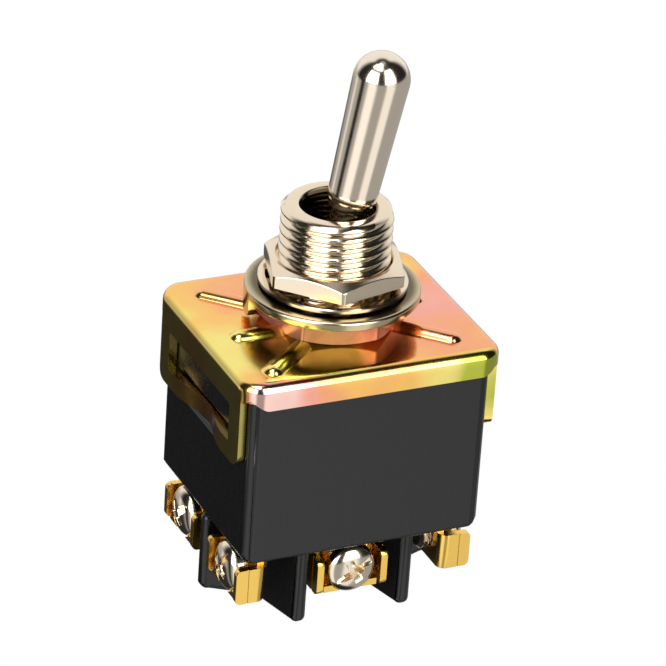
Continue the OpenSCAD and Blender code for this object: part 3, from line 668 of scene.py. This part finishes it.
outline = perimeter()
bracket_outer, bracket_inner, column_side = [], [], []
for point, out in outline:
    rim = point - out * BEND_R
    hole = Vector((point.x, point.y, 0)).normalized() * HOLE_R
    bottom = skirt_low_at(point, out)
    outer, inner = [], []
    for j in range(PLATE_ROWS):
        p = hole.lerp(rim, j / PLATE_ROWS)
        outer.append((p.x, p.y, 0.0))
        inner.append((p.x, p.y, -SHEET))
    for j in range(BEND_ROWS + 1):
        bend = math.pi / 2 * j / BEND_ROWS
        inner_r = BEND_R - SHEET
        p = rim + out * BEND_R * math.sin(bend)
        q = rim + out * inner_r * math.sin(bend)
        outer.append((p.x, p.y, -BEND_R * (1 - math.cos(bend))))
        inner.append((q.x, q.y, -SHEET - inner_r * (1 - math.cos(bend))))
    for z in skirt_levels(bottom):
        p = point - out * crimp_at(point, bottom, z)
        q = p - out * SHEET
        outer.append((p.x, p.y, z))
        inner.append((q.x, q.y, z))
    bracket_outer.append(outer)
    bracket_inner.append(inner)
    column_side.append(is_strap(bottom))


def bracket_cell(i, j):
    """Leaves out the window and the slits beside the straps."""
    k = (i + 1) % len(outline)
    if j < FIRST_SKIRT:
        return True
    if column_side[i] != column_side[k]:
        return False
    middle = (outline[i][0].y + outline[k][0].y) / 2
    in_window = FIRST_SKIRT + 3 <= j < FIRST_SKIRT + 7
    return not (column_side[i] and in_window and abs(middle) < WINDOW_HALF)


bracket = two_skins("bracket_pressed", bracket_outer, bracket_inner, bracket_cell, True, mat_bracket, 50)
add_bevel(bracket, 0.1, 2, 60)
finish_piece(bracket, "housing", "bracket_zinc", "mounting_bracket")

# ---- ribs of the bracket ----
# Six stiffening ribs, pressed up from the plate with the bracket itself. Four run out towards its corners, and
# two short ones run along its middle.

RIB_H = 0.7
RIB_R = 1.25
RIB_TURN_STEPS = 23
# outer and inner end of each rib's spine, in mm
RIBS = (
    ((-11.0, 8.4), (-5.8, 3.2)),
    ((10.2, -8.6), (5.4, -3.8)),
    ((-10.7, -9.6), (-5.5, -5.2)),
    ((10.8, 8.6), (5.8, 3.8)),
    ((-11.1, -1.6), (-7.0, -1.6)),
    ((10.0, 0.8), (7.0, 0.8)),
)

# distance from the rib's spine and height, from its foot to its top
rib_profile = [(1.32, -0.01), (1.23, 0.012), (1.16, 0.045), (1.1, 0.1)]
for degrees in (49, 42, 35, 28, 21, 14, 7, 0):
    a = math.radians(degrees)
    rib_profile.append((RIB_R * math.sin(a), RIB_R * math.cos(a) - RIB_R + RIB_H))


def parts_of(geometry, kind):
    return [part for part in geometry if isinstance(part, kind)]


def add_rib(built, outer_xy, inner_xy):
    """Turns the rib's profile round one end of its spine, draws it to the other, and so back to its start."""
    outer_end, inner_end = Vector((*outer_xy, 0)), Vector((*inner_xy, 0))
    run = inner_end - outer_end
    aside = Matrix.Rotation(-math.pi / 2, 3, "Z") @ run.normalized()
    verts = [built.verts.new(inner_end + aside * d + Vector((0, 0, height))) for d, height in rib_profile]
    edges = [built.edges.new(pair) for pair in zip(verts, verts[1:])]
    for centre, move in ((inner_end, -run), (outer_end, run)):
        turned = bmesh.ops.spin(
            built, geom=verts + edges, cent=centre, axis=(0, 0, 1), angle=math.pi, steps=RIB_TURN_STEPS
        )
        ends = parts_of(turned["geom_last"], bmesh.types.BMEdge)
        drawn = bmesh.ops.extrude_edge_only(built, edges=ends)["geom"]
        verts, edges = parts_of(drawn, bmesh.types.BMVert), parts_of(drawn, bmesh.types.BMEdge)
        bmesh.ops.translate(built, verts=verts, vec=move)


ribs_built = bmesh.new()
for outer_end, inner_end in RIBS:
    add_rib(ribs_built, outer_end, inner_end)
ribs = make_object(ribs_built, "bracket_ribs", mat_bracket, 50)
finish_piece(ribs, "housing", "bracket_zinc")

# ---- terminal screws ----
# Nickel-plated steel screws with a pan head, a rolled thread, and a slot and a cross in the head. One in each of
# the six terminals clamps a wire against the brass.

HEAD_R = 2.8
HEAD_H = 1.9
HEAD_RIM = 0.55
SHANK_R = 1.75
SCREW_LEN = 5.0
TERMINALS = (
    ("left_front", -1, -1, 62),
    ("right_front", 1, -1, 20),
    ("left_rear", -1, 1, 40),
    ("right_rear", 1, 1, 75),
    ("middle_front", 0, -1, 28),
    ("middle_rear", 0, 1, 50),
)


def shank_shape(r, z, a):
    if r < SHANK_R + 0.05 and -SCREW_LEN + 0.3 < z < -HEAD_H - 0.05:
        return r - 0.32 * thread_wave(z, a, 0.6), z
    return r, z


def screw_blank():
    """A screw with a plain head. It faces +X, and its head's face is at x = 0."""
    profile = [(0.0, -SCREW_LEN), (SHANK_R - 0.4, -SCREW_LEN), (SHANK_R, -SCREW_LEN + 0.35)]
    for i in range(1, 49):
        profile.append((SHANK_R, -SCREW_LEN + 0.35 + (SCREW_LEN - HEAD_H - 0.35) * i / 48))
    profile += [(HEAD_R - 0.1, -HEAD_H), (HEAD_R, -HEAD_H + 0.1), (HEAD_R, -HEAD_H + HEAD_RIM)]
    for i in range(1, 14):
        a = math.pi / 2 * i / 14
        rise = (HEAD_H - HEAD_RIM) * math.sin(a) ** 0.9
        profile.append((HEAD_R * math.cos(a), -HEAD_H + HEAD_RIM + rise))
    profile.append((0.0, 0.0))
    turn = Matrix.Rotation(math.pi / 2, 4, "Y")
    return lathe("screw_blank", profile, 96, mat_screw, 30, turn, shank_shape)


def wedge(name, half_len, half_top, half_low, depth, turn_deg):
    """A cutter along Y that narrows into the head, and stands proud of the head's face."""
    proud = 0.6
    half_proud = half_top + (half_top - half_low) * proud / depth
    built = bmesh.new()
    bmesh.ops.create_cube(built, size=2.0)
    for vert in built.verts:
        if vert.co.x > 0:
            vert.co = (proud, vert.co.y * half_len * 1.1, vert.co.z * half_proud)
        else:
            vert.co = (-depth, vert.co.y * half_len * 0.45, vert.co.z * half_low)
    return make_object(built, name, mat_screw, 30, Matrix.Rotation(math.radians(turn_deg), 4, "X"))


def cut(blank, cutters):
    """Takes the cutters out of the blank, and keeps only the mesh that is left."""
    for cutter in cutters:
        modifier = blank.modifiers.new("cut", "BOOLEAN")
        modifier.operation = "DIFFERENCE"
        modifier.solver = "EXACT"
        modifier.object = cutter
    graph = bpy.context.evaluated_depsgraph_get()
    mesh = bpy.data.meshes.new_from_object(blank.evaluated_get(graph))
    for gone in [blank, *cutters]:
        bpy.data.objects.remove(gone, do_unlink=True)
    mesh.set_sharp_from_angle(angle=math.radians(30))
    return mesh


mat_screw = plated("screw nickel", (0.82, 0.72, 0.58), 0.16)
cross = [wedge("cut_a", 1.75, 0.5, 0.22, 1.25, 0), wedge("cut_b", 1.75, 0.5, 0.22, 1.25, 90)]
screw_shape = cut(screw_blank(), [*cross, wedge("cut_slot", 4.5, 0.42, 0.38, 0.62, 0)])

for label, side_x, side_y, turn in TERMINALS:
    low, high = box_mm("terminal_screw_" + label)
    middle = (low + high) / 2
    if side_x:
        heading = 0.0 if side_x > 0 else math.pi
        face_at = abs(high.x if side_x > 0 else low.x)
        aside = middle.y
    else:
        heading = side_y * math.pi / 2
        face_at = abs(high.y if side_y > 0 else low.y)
        aside = 0.0
    place = Matrix.Translation((0, aside, 0)) @ Matrix.Rotation(heading, 4, "Z")
    place = place @ Matrix.Translation((face_at, 0, middle.z)) @ Matrix.Rotation(math.radians(turn), 4, "X")
    place.translation *= MM
    mesh = screw_shape.copy()
    mesh.transform(place)
    screw = bpy.data.objects.new("screw_" + label, mesh)
    bpy.context.scene.collection.objects.link(screw)
    finish_piece(screw, "housing", "screw_nickel", "terminal_screw_" + label)

# ---- housing ----
# One black phenolic moulding: a deep box with barriers under its floor that keep the terminals apart. Its edges are
# softly rounded by the mould.


def moulded(name, colour, roughness):
    material, tree, shader = new_material(name, Base_Color=(*colour, 1.0))
    shader.inputs["Specular IOR Level"].default_value = 0.5
    add_fine_polish(tree, shader, 1500.0, roughness, 0.12, 0.2, 0.00003)
    return material


def dress(name, material):
    """Gives a CAD piece its finish."""
    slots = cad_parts[name].data.materials
    slots.clear()
    slots.append(material)


def round_solid(name, width_mm, segments, limit_deg):
    """Joins the solid's split corners and flat triangles, then rounds its edges."""
    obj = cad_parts[name]
    obj.modifiers.new("joined corners", "WELD").merge_threshold = 1e-6
    flats = obj.modifiers.new("flat faces", "DECIMATE")
    flats.decimate_type = "DISSOLVE"
    flats.angle_limit = math.radians(1)
    return add_bevel(obj, width_mm, segments, limit_deg)


dress("housing", moulded("black moulding", (0.004, 0.004, 0.0045), 0.26))
round_solid("housing", 0.55, 5, 40).use_clamp_overlap = False

# ---- terminals and rockers ----
# The terminals and rockers are stamped and folded from brass sheet. Each rocker tips on a brass post above its
# pole's middle terminal.

mat_brass = plated("stamped brass", (0.92, 0.60, 0.14), 0.22, 500.0, 0.3)
for label, *_ in TERMINALS:
    dress("terminal_" + label, mat_brass)
    round_solid("terminal_" + label, 0.12, 2, 40)
for pole in ("front", "rear"):
    dress("rocker_" + pole, mat_brass)
    dress("pivot_post_" + pole, mat_brass)

# ---- contacts ----
# Round silver buttons, two on each rocker's wings and one under each wing, at the end terminals. The current
# passes from the middle terminal through the pair that is closed.

mat_silver = plated("contact silver", (0.88, 0.87, 0.85), 0.25)
for pole in ("front", "rear"):
    dress("rocker_contacts_" + pole, mat_silver)
    for side in ("left", "right"):
        dress(f"fixed_contact_{side}_{pole}", mat_silver)

# ---- pieces that push the rockers ----
# The hinge pin and the springs are drawn steel, the actuator is a brown moulding on the lever's stem, and the
# plungers are turned and nickel plated. The insulator plate closes the housing above them.

mat_steel = plated("drawn steel", (0.52, 0.52, 0.53), 0.3)
dress("insulator_plate", moulded("insulation board", (0.30, 0.16, 0.07), 0.6))
dress("actuator", moulded("brown moulding", (0.16, 0.06, 0.025), 0.45))
dress("hinge_pin", mat_steel)
for pole in ("front", "rear"):
    dress("spring_" + pole, mat_steel)
    dress("plunger_" + pole, mat_nickel)

# ---- studio and camera ----
# Soft boxes on a world that the camera sees as plain white. Each is a patch of the sky, and the dark gaps
# between them give the plated metal its bands.

world = bpy.data.worlds.new("studio")
bpy.context.scene.world = world
world.use_nodes = True
sky = world.node_tree
background = sky.nodes["Background"]
sky_place = node(sky, "ShaderNodeTexCoord")
sky_split = node(sky, "ShaderNodeSeparateXYZ")
link(sky, sky_place.outputs["Generated"], sky_split.inputs[0])
to_right, to_back, to_top = sky_split.outputs
degree = 180 / math.pi
to_left = math_node(sky, "MULTIPLY", to_right, -1.0)
to_front = math_node(sky, "MULTIPLY", to_back, -1.0)
# angles in degrees: round from the front or the back, positive to the left and to the right, and above the horizon
front_angle = math_node(sky, "MULTIPLY", math_node(sky, "ARCTAN2", to_left, to_front), degree)
back_angle = math_node(sky, "MULTIPLY", math_node(sky, "ARCTAN2", to_right, to_back), degree)
rise_angle = math_node(sky, "MULTIPLY", math_node(sky, "ARCSINE", to_top), degree)

# brightness, angle used, its range and softness, range of height and softness
SOFT_BOXES = (
    (4.0, front_angle, -34, 9, 3, 3, 57, 2),
    (4.0, front_angle, 40, 88, 3, 3, 47, 2),
    (6.0, front_angle, 24, 100, 8, 58, 85, 3),
    (0.98, back_angle, -38, 76, 14, -3, 64, 8),
    (0.45, back_angle, -180, 180, 1, 80, 100, 5),
    (0.40, front_angle, -190, 92, 4, -66, 0, 3),
    (0.45, back_angle, -70, 10, 5, -66, -4, 4),
    (0.64, front_angle, -30, 4, 5, -66, 0, 3),
    (0.75, front_angle, 42, 76, 6, -66, 0, 3),
    (0.45, back_angle, -50, -38, 4, -24, -4, 3),
)
SHADE_DEPTH = 0.97
AMBIENT = 0.015


def band(value, low, high, soft):
    """1 between low and high degrees, with soft ends."""
    rising = mapped(sky, value, low - soft, low + soft, 0.0, 1.0)
    return math_node(sky, "MULTIPLY", rising, mapped(sky, value, high - soft, high + soft, 1.0, 0.0))


total = 0.0
shade = math_node(sky, "MULTIPLY", band(back_angle, -62, 12, 6), band(rise_angle, -100, -20, 3))
unshaded = math_node(sky, "SUBTRACT", 1.0, math_node(sky, "MULTIPLY", shade, SHADE_DEPTH))
for strength, angle, low, high, soft, rise_low, rise_high, rise_soft in SOFT_BOXES:
    height = band(rise_angle, rise_low, rise_high, rise_soft)
    box = math_node(sky, "MULTIPLY", band(angle, low, high, soft), height)
    total = math_node(sky, "ADD", math_node(sky, "MULTIPLY", box, strength), total)
total = math_node(sky, "ADD", math_node(sky, "MULTIPLY", total, unshaded), AMBIENT)
seen = node(sky, "ShaderNodeLightPath").outputs["Is Camera Ray"]
reflected = math_node(sky, "MULTIPLY", math_node(sky, "SUBTRACT", 1.0, seen), total)
background.inputs["Color"].default_value = (1, 1, 1, 1)
link(sky, math_node(sky, "ADD", seen, reflected), background.inputs["Strength"])

CAMERA_AT = Vector((-187.18, -389.03, 226.31))
CAMERA_HEADING = 25.749
CAMERA_TILT = -27.880
CAMERA_ROLL = 3.951

camera_data = bpy.data.cameras.new("camera")
camera_data.sensor_width = 36.0
camera_data.lens = 248.162
camera_data.clip_start, camera_data.clip_end = 0.01, 20.0
camera = bpy.data.objects.new("camera", camera_data)
bpy.context.scene.collection.objects.link(camera)
bpy.context.scene.camera = camera
aim = Matrix.Rotation(math.radians(-CAMERA_HEADING), 4, "Z")
aim = aim @ Matrix.Rotation(math.radians(90 + CAMERA_TILT), 4, "X")
aim = aim @ Matrix.Rotation(math.radians(CAMERA_ROLL), 4, "Z")
camera.matrix_world = Matrix.Translation(CAMERA_AT * MM) @ aim

bpy.context.scene.view_settings.view_transform = "Standard"
